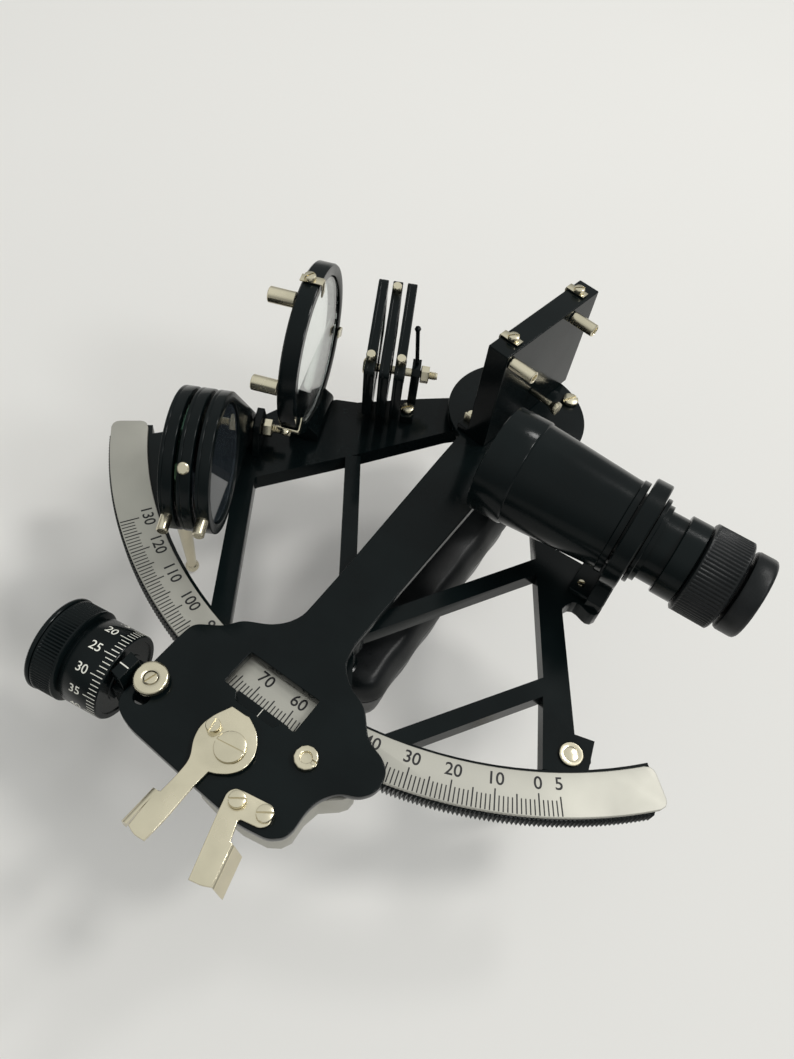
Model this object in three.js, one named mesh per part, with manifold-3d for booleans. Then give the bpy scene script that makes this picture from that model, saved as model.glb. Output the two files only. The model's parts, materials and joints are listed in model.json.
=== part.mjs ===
// Nautical sextant: three-legged lattice frame, graduated arc with worm rack, swinging index
// arm with micrometer drum, two mirrors, two sets of swing shades and a small telescope.
// Millimetres, +Z up. The index arm turns about the Z axis of the "sextant" group, whose
// z = 0 is the graduated face of the arc; the outer group puts the feet on the ground.
import * as THREE from 'three';
import { mergeVertices } from 'three/addons/utils/BufferGeometryUtils.js';
import Module from 'manifold-3d';

const wasm = await Module();
wasm.setup();

// ---------- driving dimensions ----------
const ARC_R = 162, ARC_INNER_R = 148.2, ARC_FROM = -141.5, ARC_TO = -44;   // scale plate
const SCALE_T = 1.8;
const GAP = 0.3;
const FRAME_TOP = -SCALE_T - GAP, FRAME_T = 7, FRAME_BOTTOM = FRAME_TOP - FRAME_T;
const RACK_TIP_R = 162.9, RACK_ROOT_R = 161.9, RACK_PITCH_DEG = 0.5, RACK_T = 6;
const READING = 65.5;                            // degrees shown at rest
const ZERO_DEG = -58.75;                         // where the arm points when it reads 0
const ARM_DEG = ZERO_DEG - READING / 2;
const ARM_BOTTOM = 1.4, ARM_TOP = 5, DISC_R = 28.5;
const FOOT_Z = -71;
const SIGHT_Z = 33, TELESCOPE_Y = -51;           // height and offset of the line of sight
const WORM_R = 168.4, WORM_TURN = 8.5;           // worm axis: distance from the pivot, slant
const WORM_Z = FRAME_TOP - RACK_T / 2, WORM_OUTER_R = 5.9, WORM_DEPTH = 1;
const WORM_PITCH = 162.6 * RACK_PITCH_DEG * Math.PI / 180;
const RAD = Math.PI / 180;

// ---------- materials ----------
const mat = (color, roughness, metalness, extra = {}) => () =>
  new THREE.MeshStandardMaterial({ color, roughness, metalness, ...extra });
const BLACK = mat(0x1a2020, 0.42, 0.3);
const BLACK_PLASTIC = mat(0x0d0f10, 0.5, 0);
const SILVER = mat(0xb9b8b0, 0.35, 0.9);
const NICKEL = mat(0xcdc6a6, 0.25, 0.95);
const STEEL = mat(0x9a9a98, 0.35, 0.9);
const GLASS = mat(0xdfe8e4, 0.05, 0, { transparent: true, opacity: 0.35 });
const MIRROR = mat(0xd8dcda, 0.05, 1);
const filter = (color) => mat(color, 0.08, 0, { transparent: true, opacity: 0.7 });

// ---------- solids ----------
const toManifold = (geometry) => {
  const g = geometry.clone();
  g.deleteAttribute('normal');
  g.deleteAttribute('uv');
  const m = mergeVertices(g, 1e-4);
  return new wasm.Manifold(new wasm.Mesh({
    numProp: 3,
    vertProperties: new Float32Array(m.attributes.position.array),
    triVerts: new Uint32Array(m.index.array),
  }));
};
const toGeometry = (solid) => {
  const mesh = solid.getMesh();
  const g = new THREE.BufferGeometry();
  g.setAttribute('position', new THREE.BufferAttribute(mesh.vertProperties, 3));
  g.setIndex(new THREE.BufferAttribute(mesh.triVerts, 1));
  return g;
};
const union = (...parts) => toGeometry(parts.map(toManifold).reduce((a, b) => a.add(b)));
const cut = (body, ...tools) =>
  toGeometry(tools.map(toManifold).reduce((a, b) => a.subtract(b), toManifold(body)));

// a profile of [r, z] points turned about Z
const turned = (profile, segments = 20) => {
  const points = profile.map(([r, z]) => new THREE.Vector2(r, z));
  return new THREE.LatheGeometry(points, segments).rotateX(Math.PI / 2);
};
const rod = (r, z0, z1, segments = 12) => turned([[0, z0], [r, z0], [r, z1], [0, z1]], segments);
const ring = (r0, r1, z0, z1, segments = 48) =>
  turned([[r0, z0], [r1, z0], [r1, z1], [r0, z1], [r0, z0]], segments);
const shapeOf = (points) => new THREE.Shape(points.map(([x, y]) => new THREE.Vector2(x, y)));
const prism = (outline, z0, z1, curveSegments = 3) => {
  const shape = outline instanceof THREE.Shape ? outline : shapeOf(outline);
  return new THREE.ExtrudeGeometry(shape, { depth: z1 - z0, bevelEnabled: false, curveSegments })
    .translate(0, 0, z0);
};
// turns a solid made along +Z so that it runs along a horizontal direction
const alongX = (geometry) => geometry.rotateY(Math.PI / 2);
const polar = (r, deg) => [r * Math.cos(deg * RAD), r * Math.sin(deg * RAD)];
const arcPoints = (r, from, to, steps) =>
  Array.from({ length: steps + 1 }, (_, i) => polar(r, from + (to - from) * i / steps));
const sector = (r0, r1, from, to, steps) =>
  [...arcPoints(r1, from, to, steps), ...arcPoints(r0, to, from, steps)];
const beam = ([x0, y0], [x1, y1], width) => {
  const l = Math.hypot(x1 - x0, y1 - y0), nx = -(y1 - y0) / l * width / 2, ny = (x1 - x0) / l * width / 2;
  return [[x0 + nx, y0 + ny], [x0 - nx, y0 - ny], [x1 - nx, y1 - ny], [x1 + nx, y1 + ny]];
};
const roundedRect = (x0, y0, x1, y1, r) => {
  const s = new THREE.Shape();
  s.moveTo(x0 + r, y0).lineTo(x1 - r, y0).absarc(x1 - r, y0 + r, r, -Math.PI / 2, 0);
  s.lineTo(x1, y1 - r).absarc(x1 - r, y1 - r, r, 0, Math.PI / 2);
  s.lineTo(x0 + r, y1).absarc(x0 + r, y1 - r, r, Math.PI / 2, Math.PI);
  s.lineTo(x0, y0 + r).absarc(x0 + r, y0 + r, r, Math.PI, 1.5 * Math.PI);
  return s;
};

// ---------- tree ----------
const group = new THREE.Group();
group.name = 'nautical_sextant';
const sextant = new THREE.Group();
group.add(sextant);
const place = (parent, x = 0, y = 0, z = 0, turnDeg = 0) => {
  const g = new THREE.Group();
  g.position.set(x, y, z);
  g.rotation.z = turnDeg * RAD;
  parent.add(g);
  return g;
};
const add = (parent, name, geometry, material, x = 0, y = 0, z = 0) => {
  geometry.computeVertexNormals();
  const mesh = new THREE.Mesh(geometry, material());
  mesh.name = name;
  mesh.position.set(x, y, z);
  parent.add(mesh);
  return mesh;
};

// ---------- frame, arc and rack ----------
const LEGS = { left: [-92, -104.8], right: [83.4, -114.7], apex: [2, 17.7] };
const POSTS = [[0, -19], [0, -121]];
const frame = () => {
  const members = [
    sector(146.8, 158.5, ARC_FROM + 0.2, ARC_TO - 0.2, 40),
    [[-24, 0], [-29.8, -4.6], [-38.9, -12.6], [-58.2, -30.9], [-66, -35], [-81.7, -54.4],
      [-84.4, -61.9], [-114, -98], [-103, -108], [-82, -123], [-66, -87], [-43.5, -56],
      [-20, -21.6], [0, 0]],                                                       // left limb
    [[17, -17], [46.7, -66.9], [63.7, -95.7], [78, -124], [91, -118], [88, -106], [81.5, -107.7],
      [57.9, -69.2], [27, -19]],                                                   // right limb
    beam([-71.4, -86.8], [-35.4, -145.7], 7.2),                                    // left strut
    beam([-43, -55.7], [17, -147.8], 6.1),                                         // middle strut
    beam([0.1, -121.8], [44, -52.8], 6),                                           // upper brace
    beam([32, -147.4], [69, -93.6], 6),                                            // lower brace
    [[44, -46], [69, -46], [69, -61.5], [68, -63.2], [66.4, -63.8], [64.6, -63.4], [62.4, -62.6],
      [60.4, -62.4], [58.9, -63.2], [57.8, -65.2], [57, -68.3], [50, -60], [40, -52]],  // telescope lug
  ].map((outline) => prism(outline, FRAME_BOTTOM, FRAME_TOP));
  const pads = [[...LEGS.right, 6.8], [...POSTS[1], 6.5]]
    .map(([x, y, r]) => rod(r, FRAME_BOTTOM, FRAME_TOP, 14).translate(x, y, 0));
  const body = union(rod(24, FRAME_BOTTOM, FRAME_TOP, 36), ...members, ...pads);
  const holes = Object.values(LEGS).map(([x, y]) => rod(2.4, -12, 0, 12).translate(x, y, 0));
  return cut(body, rod(11.3, -12, 0, 28), ...holes);
};
add(sextant, 'sextant_frame', frame(), BLACK);

// the scale plate is one arc strip with rounded corners
const scaleOutline = () => {
  const corner = 3, outerTurn = corner / ARC_R / RAD, innerTurn = corner / ARC_INNER_R / RAD;
  return [...arcPoints(ARC_R, ARC_FROM + outerTurn, ARC_TO - outerTurn, 48),
    polar(ARC_R - 0.8, ARC_TO - outerTurn * 0.3), polar(ARC_R - corner, ARC_TO),
    polar(ARC_INNER_R + corner, ARC_TO), polar(ARC_INNER_R + 0.8, ARC_TO - innerTurn * 0.3),
    ...arcPoints(ARC_INNER_R, ARC_TO - innerTurn, ARC_FROM + innerTurn, 48),
    polar(ARC_INNER_R + 0.8, ARC_FROM + innerTurn * 0.3), polar(ARC_INNER_R + corner, ARC_FROM),
    polar(ARC_R - corner, ARC_FROM), polar(ARC_R - 0.8, ARC_FROM + outerTurn * 0.3)];
};
add(sextant, 'arc_scale_plate', prism(scaleOutline(), -SCALE_T, 0), SILVER);

const RACK_FROM = -139.5, RACK_TO = -45.5;
const rackOutline = () => {
  const teeth = [];
  for (let a = RACK_FROM; a < RACK_TO - 0.1; a += RACK_PITCH_DEG) {
    teeth.push(polar(RACK_ROOT_R, a), polar(RACK_TIP_R, a + RACK_PITCH_DEG / 2));
  }
  return [...teeth, polar(RACK_ROOT_R, RACK_TO), ...arcPoints(158.8, RACK_TO, RACK_FROM, 40)];
};
add(sextant, 'arc_rack', prism(rackOutline(), FRAME_TOP - RACK_T, FRAME_TOP), BLACK);

// ---------- legs, handle and pivot bearing ----------
// each leg is riveted through the frame under a flat round head and ends in a ball
const LEG_PROFILE = [[0, FOOT_Z], [1.7, FOOT_Z], [2.8, FOOT_Z + 1.5], [3, FOOT_Z + 3], [2.5, FOOT_Z + 4.8],
  [2.1, FOOT_Z + 6.5], [4, -16], [5.5, -12], [5.5, FRAME_BOTTOM - GAP], [2.1, FRAME_BOTTOM - GAP],
  [2.1, FRAME_TOP + GAP], [3.9, FRAME_TOP + GAP], [3.9, -1.2], [3.6, -0.9], [0, -0.9]];
for (const [side, [x, y]] of Object.entries(LEGS)) {
  add(sextant, `leg_${side}`, turned(LEG_PROFILE, 10), NICKEL, x, y);
}

const GRIP_TOP = -27, GRIP_LIP = -36, GRIP_BOTTOM = -61, POST_R = 4.5;
const grip = () => {
  const half = [[13, GRIP_TOP], [15.5, GRIP_TOP - 2.5], [17.3, GRIP_LIP + 1.5], [17.3, GRIP_LIP - 1.5],
    [16.4, GRIP_LIP - 2.5], [16.2, GRIP_LIP - 10], [13.5, GRIP_BOTTOM + 5], [8, GRIP_BOTTOM]];
  const section = [...half.map(([x, z]) => [-x, z]), ...half.reverse()];
  const bar = prism(section, 0, 115).rotateX(Math.PI / 2).translate(0, -13, 0);
  const plan = prism(roundedRect(-17.5, -128, 17.5, -13, 9), GRIP_BOTTOM - 1, GRIP_TOP + 1, 5);
  const body = toGeometry(toManifold(bar).intersect(toManifold(plan)));
  const strap = prism(roundedRect(-6.4, -126, 6.4, -14, 6), GRIP_TOP - 5.3, GRIP_TOP + 1, 4);
  return cut(body, strap);
};
add(sextant, 'handle_grip', grip(), BLACK_PLASTIC);
const strapMount = () => union(
  prism(roundedRect(-6, -125.6, 6, -14.4, 5.9), GRIP_TOP - 5, GRIP_TOP - 1, 4),
  ...POSTS.map(([x, y]) => rod(POST_R, GRIP_TOP - 2, FRAME_BOTTOM - GAP).translate(x, y, 0)));
add(sextant, 'handle_mount', strapMount(), BLACK);

add(sextant, 'pivot_bearing', turned([[0, -24], [9, -24], [11, -22], [11, FRAME_TOP + GAP],
  [13, FRAME_TOP + GAP], [13, ARM_BOTTOM - GAP], [4.3, ARM_BOTTOM - GAP], [4.3, -21], [0, -21]], 18), SILVER);

// ---------- horizon mirror ----------
// local frame: x is the mirror's normal towards the telescope, y runs along its plane
const HM = { x: -72.7, y: -49.4, turn: 20, outer: 31.9, inner: 26, depth: 6.5, glassR: 27.4 };
const hm = place(sextant, HM.x, HM.y, 0, HM.turn);
const horizonMount = () => {
  const rim = alongX(turned([[HM.inner, 0], [HM.outer, 0], [HM.outer, HM.depth],
    [HM.inner + 1.7, HM.depth], [HM.inner + 1.7, 3], [HM.inner, 3], [HM.inner, 0]], 40));
  const floor = FRAME_TOP + GAP;
  const foot = prism([[-1.5, floor], [10.5, floor], [10.5, 2], [7.5, 7], [-1.5, 7]], -9, 14)
    .rotateX(Math.PI / 2);
  const glassRoom = alongX(rod(HM.inner + 1.7, -4, 14, 40)).translate(0, 0, SIGHT_Z);
  return union(cut(foot, glassRoom), rim.translate(0, 0, SIGHT_Z));
};
add(hm, 'horizon_mirror_mount', horizonMount(), BLACK);
add(hm, 'horizon_mirror_glass', alongX(rod(HM.glassR, 3.3, 5.6, 24)), GLASS, 0, 0, SIGHT_Z);
// square-drive adjusting screw in a tube, open at the end
const adjuster = (r, length) => turned([[0, 0], [r, 0], [r, length], [r * 0.62, length],
  [r * 0.62, length - 3], [0, length - 3]], 10);
const backwards = (geometry) => geometry.rotateY(-Math.PI / 2);
add(hm, 'horizon_adjuster_upper', backwards(adjuster(2.8, 9.5)), NICKEL, -GAP, -7.8, SIGHT_Z + 27.9);
add(hm, 'horizon_adjuster_lower', backwards(adjuster(2.8, 9.5)), NICKEL, -GAP, -28.4, SIGHT_Z + 5.7);
// bent spring clip: strip along +x over an edge, finger down the front, screw head on top
const clip = (depth, reach, width = 3.4) => union(
  prism([[0, 0], [depth, 0], [depth, -reach], [depth + 0.9, -reach], [depth + 0.9, 0.9], [0, 0.9]],
    -width / 2, width / 2).rotateX(Math.PI / 2),
  rod(2.1, 0.4, 2.4, 12).translate(2, 0, 0));
const HM_CLIPS = { top: 92, side: -26, foot: -155 };
for (const [side, deg] of Object.entries(HM_CLIPS)) {
  const [y, z] = polar(HM.outer + GAP, deg);
  const holder = place(hm, 1, y, z + SIGHT_Z);
  holder.rotation.set((deg - 90) * RAD, 0, 0);
  add(holder, `horizon_clip_${side}`, clip(6, 5.2), NICKEL);
}

// ---------- swing shades ----------
// local frame of a set: x runs along the bolt, y along the shades' plane, origin on the bolt
const xPrism = (outline, x0, x1, curve = 5) =>
  prism(outline, x0, x1, curve).rotateX(Math.PI / 2).rotateZ(Math.PI / 2);
const NUT_T = 3.4;
const boltWithNut = (r, headR, nutAt, length) => {
  const hexagon = Array.from({ length: 6 }, (_, i) => polar(r * 2.1, i * 60 + 30));
  return union(alongX(turned([[0, -2.2], [headR * 0.8, -2.2], [headR, -1.4], [headR, -GAP], [r, -GAP],
    [r, length], [0, length]], 10)), alongX(prism(hexagon, nutAt, nutAt + NUT_T)));
};
const SHADE_HOLE = 2, SHADE_BOLT_R = 1.7;
const SHADE_TINTS = [0x2d5a41, 0x5a2f2a, 0x2c3440];

// index shades: square holders, leaning towards the telescope side
const IS = { x: -58.4, y: -24.4, z: 13.6, turn: 27, tilt: 16, depth: 3.8, pitch: 5.5, slab: 17.6 };
const is = place(sextant, IS.x, IS.y, IS.z, IS.turn);
add(is, 'index_shade_bolt', boltWithNut(SHADE_BOLT_R, 3.4, IS.slab + 3.8, 28.2), NICKEL);
const indexBracket = () => {
  const floor = FRAME_TOP + GAP - IS.z;
  const slab = xPrism([[-6, floor], [6, floor], [5, 3], [3, 5], [-3, 5], [-5, 3]], 0, 3.5);
  const foot = prism(roundedRect(-1.9, -13.5, 3.5, -4, 1), floor, floor + 3.5, 3);
  const stopRod = union(rod(0.8, 0, 18, 8), new THREE.SphereGeometry(1.3, 8, 6).translate(0, 0, 19))
    .rotateY(-6 * RAD).translate(1.9, 0, 4);
  return cut(union(slab, foot, stopRod), alongX(rod(SHADE_HOLE, -1, 5, 16)),
    rod(1.5, floor - 1, floor + 5, 14).translate(0.6, -9.5, 0));
};
add(is, 'index_shade_bracket', indexBracket(), BLACK, IS.slab);
const screw = (headR, shankR, length, headH = 1.6) => cut(
  turned([[0, -length], [shankR, -length], [shankR, 0], [headR, 0], [headR, headH - 0.4],
    [headR - 0.4, headH], [0, headH]], 10),
  prism([[-headR - 1, -0.4], [headR + 1, -0.4], [headR + 1, 0.4], [-headR - 1, 0.4]],
    headH - 0.7, headH + 1));
add(is, 'index_shade_stop_screw', screw(2.6, 1.2, 3), NICKEL, IS.slab + 0.6, -9.5,
  FRAME_TOP + GAP - IS.z + 3.8);
// side view of a square holder about its bolt hole, with the lower corners cut off
const HOLDER_TOP = 31.5;
const HOLDER_OUTLINE = [[-21.4, -1.8], [-16.5, -8.5], [11.5, -8.5], [20.5, -0.5], [20.5, 29.5],
  [18.5, HOLDER_TOP], [-19.4, HOLDER_TOP], [-21.4, 29.5]];
const squareHolder = (pinAt) => union(cut(
  xPrism(HOLDER_OUTLINE, 0, IS.depth),
  xPrism(roundedRect(-16, 2.5, 15.5, 27.5, 3), 1.2, IS.depth + 1, 1),
  xPrism(roundedRect(-14.6, 4, 14.1, 26, 2.4), -1, 2, 1),
  alongX(rod(SHADE_HOLE, -1, IS.depth + 1, 10))),
rod(1.8, HOLDER_TOP - 0.5, HOLDER_TOP + 3.6, 8).translate(IS.depth / 2, pinAt, 0));
[-15.3, 15, -15.3].forEach((pinAt, i) => {
  const shade = place(is, 0.2 + IS.pitch * i, 0, 0);
  shade.rotation.set(IS.tilt * RAD, 0, 0);
  add(shade, `index_shade_${i + 1}`, squareHolder(pinAt), BLACK);
  add(shade, `index_filter_${i + 1}`, xPrism(roundedRect(-15.7, 2.8, 15.2, 27.2, 2.9), 1.5, 3.5, 1),
    filter(SHADE_TINTS[i]));
});

// horizon shades: round holders on a long neck
const HS = { x: -92.7, y: -80.5, z: 6, turn: 27.6, lift: 148.1, reach: 47.3, r: 24, depth: 4.4,
  pitch: 5.7, slab: 16.7 };
const hs = place(sextant, HS.x, HS.y, HS.z, HS.turn);
add(hs, 'horizon_shade_bolt', boltWithNut(SHADE_BOLT_R, 3.4, HS.slab + 3.2, 28), NICKEL);
const horizonBracket = () => {
  const floor = FRAME_TOP + GAP - HS.z;
  const slab = xPrism([[-9, floor], [9, floor], [6.5, 2], [5, 5.5], [-5, 5.5], [-6.5, 2]], 0, 2.9);
  return cut(slab, alongX(rod(SHADE_HOLE, -1, 5, 16)));
};
add(hs, 'horizon_shade_bracket', horizonBracket(), BLACK, HS.slab);
// outline of a round holder whose bolt hole is at the origin and whose centre lies straight above;
// one side of its neck is cut back so that the index arm passes underneath
const HS_NECK = 50;
const teardrop = () => {
  const lug = 5.4, lean = Math.asin((HS.r - lug) / HS.reach) / RAD;
  return [...arcPoints(HS.r, -lean, 180 + HS_NECK, 22).map(([y, z]) => [y, z + HS.reach]),
    [-lug - 0.6, 13], ...arcPoints(lug, 180, 360 - lean, 6)];
};
const roundHolder = (pinDeg, pinLength) => {
  const centre = (geometry) => geometry.translate(0, 0, HS.reach);
  const body = cut(xPrism(teardrop(), 0, HS.depth),
    centre(alongX(rod(20.4, 1.2, HS.depth + 1, 20))), centre(alongX(rod(19, -1, 2, 20))),
    alongX(rod(SHADE_HOLE, -1, HS.depth + 1, 10)));
  const pin = rod(1.9, HS.r - 0.7, HS.r + pinLength, 10).rotateX(-(pinDeg - 90) * -RAD);
  return union(body, centre(pin.translate(HS.depth / 2, 0, 0)));
};
const HS_PINS = [[123, 6], [78, 1.2], [123, 6]];
HS_PINS.forEach(([pinDeg, length], i) => {
  const shade = place(hs, 0.2 + HS.pitch * i, 0, 0);
  shade.rotation.set((HS.lift - 90) * RAD, 0, 0);
  add(shade, `horizon_shade_${i + 1}`, roundHolder(pinDeg, length), BLACK);
  add(shade, `horizon_filter_${i + 1}`, alongX(rod(20, 1.5, 3.6, 20)), filter(SHADE_TINTS[i]),
    0, 0, HS.reach);
});

// ---------- telescope ----------
const scope = place(sextant, 0, TELESCOPE_Y, SIGHT_Z);
const EYEPIECE_BORE = 9.8;
const tube = [[17.8, 12], [19.5, 12], [19.5, 24.3], [18.9, 25.4], [16.5, 58], [16.5, 59.6], [17.1, 59.6],
  [17.1, 62], [13.6, 62], [13.6, 69], [15.5, 69], [15.5, 70.5], [13.9, 70.5], [13.9, 72.2],
  [12.5, 72.2], [12.5, 78.2], [14.2, 78.2], [14.2, 85.6], [11.2, 85.6], [11.2, 99],
  [EYEPIECE_BORE, 99], [EYEPIECE_BORE, 74], [12, 72], [12, 62.5], [15, 58], [16.6, 20], [17.8, 20],
  [17.8, 12]];
add(scope, 'telescope_tube', alongX(turned(tube, 20)), BLACK);
const LENS = [[0, 15.4], [9, 15.9], [17.4, 17.5], [17.4, 19.7], [0, 19.7]];
add(scope, 'objective_lens', alongX(turned(LENS, 18)), GLASS);
const knurled = (r, x0, x1, bore, ribs) => {
  const rim = Array.from({ length: ribs * 2 }, (_, i) => polar(i % 2 ? r : r - 0.6, i * 180 / ribs));
  return alongX(cut(prism(rim, x0, x1), rod(bore, x0 - 1, x1 + 1, 24)));
};
add(scope, 'focus_ring', knurled(15.8, 86, 99.3, 11.7, 20), BLACK);
const EYE_TUBE = [[7, 80], [9.5, 80], [9.5, 100.7], [13.2, 100.7], [14.2, 101.4], [14.2, 107],
  [13.4, 107.8], [10, 107.8], [7, 104], [7, 80]];
add(scope, 'eyepiece', alongX(turned(EYE_TUBE, 18)), BLACK_PLASTIC);
const telescopeBracket = () => {
  const floor = FRAME_TOP + GAP;
  const web = xPrism([[-11, floor], [9.5, floor], [9.5, 2.5], [6.4, 8], [5.6, 19], [-5.6, 19], [-6.4, 8],
    [-11, 2.5]], 62.7, 68.6);
  const foot = prism(roundedRect(55, -9.5, 69, 9.5, 1.5), floor, 1, 3);
  const clamp = alongX(ring(13.9, 19.6, 62.7, 68.6, 30)).translate(0, 0, SIGHT_Z);
  const room = alongX(rod(13.9, 60, 70, 30)).translate(0, 0, SIGHT_Z);
  return union(cut(union(web, foot), room), clamp);
};
add(sextant, 'telescope_bracket', telescopeBracket(), BLACK, 0, TELESCOPE_Y);

// ---------- index arm ----------
// local frame of the arm: origin at the pivot, the arm points along -y
const arm = place(sextant, 0, 0, 0, ARM_DEG + 90);
const ARM_OUTLINE = [[-12, -20], [-11.7, -42.7], [-9.9, -107.2], [-9.8, -128.1], [-12, -133.2],
  [-16, -137.4], [-24.4, -141.8], [-27.5, -146.8], [-36, -152.4], [-36.5, -158.3], [-36.5, -183.8],
  [-34.8, -186.6], [-31.9, -188.3], [-26.7, -189.7], [-5.1, -191], [10.5, -191.8], [17.6, -192],
  [27, -190.2], [30.4, -187.2], [31.3, -184.3], [30.9, -177.5], [32, -172.6], [35.3, -168],
  [41, -165.4], [43.6, -162], [44.3, -158.5], [43, -154.3], [39.5, -151.7], [33.1, -150.1],
  [25.8, -141.8], [19, -139.6], [14.7, -136.6], [11.6, -132.5], [10.5, -127], [10.5, -112.9],
  [11.5, -56], [12, -20]];
const ARM_WINDOW = [[-14.5, -148.8], [-14.5, -161.4], [-9.5, -161.5], [-7.5, -164.2], [7, -164.2],
  [8.5, -161.5], [13.3, -161.4], [13.3, -148.8]];
const CARRIAGE_PIVOT = [34, -164.8], LEVER_PIVOT = [1.8, -177.1], CAP_AT = [-32, -175];
const FINGER_SCREWS = { left: [13.5, -187.3], right: [22.4, -185.7] };
const DISC_SCREW = [14.4, 20.4], RING_NUT = [21.5, -165.9];
const upright = (r, [x, y], z0, z1, segments = 16) => rod(r, z0, z1, segments).translate(x, y, 0);
const armPlate = () => {
  const plate = union(rod(DISC_R, ARM_BOTTOM, ARM_TOP, 48), prism(ARM_OUTLINE, ARM_BOTTOM, ARM_TOP));
  const slot = prism(beam([CAP_AT[0] - 0.1, CAP_AT[1] + 0.1], [-31, -180.5], 5.2), 0, 6);
  const holes = [DISC_SCREW, RING_NUT, ...Object.values(FINGER_SCREWS)]
    .map((at) => upright(1.5, at, 0, 6, 14));
  const pin = upright(1.6, CARRIAGE_PIVOT, -11.5, ARM_BOTTOM + 1, 20);
  return union(cut(plate, prism(ARM_WINDOW, 0, 6), slot, upright(2.5, CAP_AT, 0, 6), rod(4.3, 0, 6, 24),
    upright(2.5, [-31, -180.5], 0, 6), upright(2.9, LEVER_PIVOT, 0, 6, 20), ...holes), pin);
};
add(arm, 'index_arm', armPlate(), BLACK);
add(arm, 'pivot_shaft', rod(4, -20.7, ARM_TOP - 0.1, 20), STEEL);
add(arm, 'disc_screw', screw(3.3, 1.2, 4), NICKEL, ...DISC_SCREW, ARM_TOP + GAP);
add(arm, 'index_pointer_plate', prism([[-10, -160], [-10, -163.1], [-5, -163.7], [5, -163.7], [10, -163.1],
  [10, -160]], GAP, 1.1), BLACK);
const RING_NUT_PROFILE = [[0, -4], [1.2, -4], [1.2, 0], [3.9, 0], [3.9, 1.6], [3.5, 2], [1.9, 2],
  [1.9, 0.4], [0, 0.4], [0, -4]];
const ringNut = () =>
  cut(turned(RING_NUT_PROFILE, 12), prism([[0, -0.6], [5, -0.6], [5, 0.6], [0, 0.6]], 1, 3));
add(arm, 'ring_nut', ringNut(), NICKEL, ...RING_NUT, ARM_TOP + GAP);

const REST_OUTLINE = [[9.9, -186.3], [11, -184.8], [13.1, -184.2], [22.8, -182.4], [24.6, -184.1],
  [25.3, -187.4], [23.6, -189.5], [17.7, -190.8], [17.4, -191.5], [19.4, -196.8], [21.4, -197.2],
  [24.5, -208.7], [23.3, -210.4], [20.8, -211.4], [16.8, -210.7], [11.3, -193.3], [9.7, -187.8]];
const LIP_SPLAY = 0.27;      // sideways lean of the bent edge, per unit of its height
const fingerRest = () => {
  const lip = prism([[20.2, -197.2], [23.4, -208.7], [24.6, -208.7], [21.4, -197.2]], -1, 6.6);
  const corners = lip.attributes.position;
  for (let i = 0; i < corners.count; i++) {
    corners.setX(i, corners.getX(i) + (6.6 - corners.getZ(i)) * LIP_SPLAY);
  }
  return cut(union(prism(REST_OUTLINE, ARM_TOP + GAP, 6.6), lip),
    ...Object.values(FINGER_SCREWS).map((at) => upright(1.5, at, 4, 8, 14)));
};
add(arm, 'finger_rest', fingerRest(), NICKEL);
for (const [side, at] of Object.entries(FINGER_SCREWS)) {
  add(arm, `finger_rest_screw_${side}`, screw(2.6, 1.2, 4.6), NICKEL, ...at, 6.9);
}
add(arm, 'lever_pivot_screw', screw(4.9, 2.6, 5.2, 1), NICKEL, ...LEVER_PIVOT, 7.5);

// ---------- index mirror ----------
// local frame: x runs along the mirror's back face, +y is the silvered side
const IM = { x: -1.1, y: -25.4, turn: 81.5, length: 56.4, depth: 9, bottom: 5.3, top: 52.3 };
const im = place(arm, IM.x, IM.y, 0, IM.turn);
const box = (x0, x1, y0, y1, z0, z1) =>
  new THREE.BoxGeometry(x1 - x0, y1 - y0, z1 - z0).translate((x0 + x1) / 2, (y0 + y1) / 2, (z0 + z1) / 2);
const shell = () => cut(
  union(box(0, IM.length, 0, IM.depth, IM.bottom, IM.top), box(0, IM.length, 0, 14, IM.bottom, 8)),
  box(1.5, IM.length - 1.5, 5.2, IM.depth + 9, 9.5, IM.top - 1.5));
add(im, 'index_mirror_frame', shell(), BLACK);
add(im, 'index_mirror_glass', box(1.8, IM.length - 1.8, 5.5, 8.7, 9.8, IM.top - 1.8), MIRROR);
const behind = (geometry) => geometry.rotateX(Math.PI / 2);
add(im, 'index_adjuster_near', behind(adjuster(2.4, 10)), NICKEL, 3.3, -GAP, 48.2);
add(im, 'index_adjuster_far', behind(adjuster(2.4, 10)), NICKEL, 41, -GAP, 48.2);
const FOOT_SCREW = [[0, 0], [1.2, 0], [1.2, 10], [2.6, 12], [2.6, 13.5], [0, 13.5]];
add(im, 'index_adjuster_foot', behind(turned(FOOT_SCREW, 18)), NICKEL, 25.5, -GAP, 19.7);
const overEdge = (name, x, y, z) => {
  const holder = place(im, x, y, z, 90);
  add(holder, name, clip(6, 4.2), NICKEL);
};
overEdge('index_clip_near', 8.5, 3, IM.top + GAP);
overEdge('index_clip_far', 49, 3, IM.top + GAP);
const FOOT_CLIP = [[0, 0], [3, 0], [3, 0.9], [0.9, 0.9], [0.9, 3.5], [0, 3.5]];
const footClip = () => cut(
  union(prism(FOOT_CLIP, -1.7, 1.7).rotateX(Math.PI / 2), rod(2.1, 0, 1.9, 16).translate(3.2, 0, 0)),
  box(1, 6, -0.3, 0.3, 1.4, 3));
add(im, 'index_clip_foot', footClip(), NICKEL, 3, 11.9, 8 + GAP);

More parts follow.
